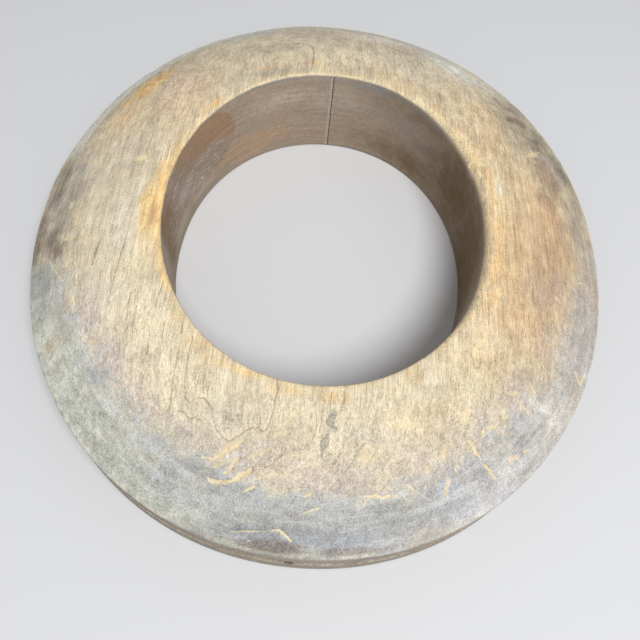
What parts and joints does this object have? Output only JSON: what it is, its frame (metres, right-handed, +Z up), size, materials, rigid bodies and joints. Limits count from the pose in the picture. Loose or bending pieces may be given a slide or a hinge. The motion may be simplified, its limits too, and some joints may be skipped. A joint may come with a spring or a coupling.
{
  "type": "hat brim block",
  "caption": "Oval wooden ring with a domed top, a straight head hole and a cord groove round its rim, glued up from halves, for shaping a hat's brim.",
  "frame": {"origin": "on the bench under the middle of the rim", "axes": "+Z up through the head hole, +Y to the back of the head, +X to the right"},
  "size_m": [0.3114, 0.3504, 0.0579],
  "materials": {
    "left_plank": "bare wood, handled and iron-grey in places, satin",
    "right_plank": "bare wood, handled and iron-grey in places, satin",
    "glue": "dry hide glue, matt",
    "dowel": "bare wood, matt",
    "iron": "filed and rusted iron"
  },
  "bodies": {
    "root": {"left_half": "left_plank", "right_half": "right_plank", "glue_line_back": "glue", "glue_line_front": "glue", "dowel_back_inner": "dowel", "dowel_back_outer": "dowel", "dowel_front_inner": "dowel", "dowel_front_outer": "dowel", "iron_pin_inner": "iron", "iron_pin_outer": "iron"}
  },
  "joints": []
}
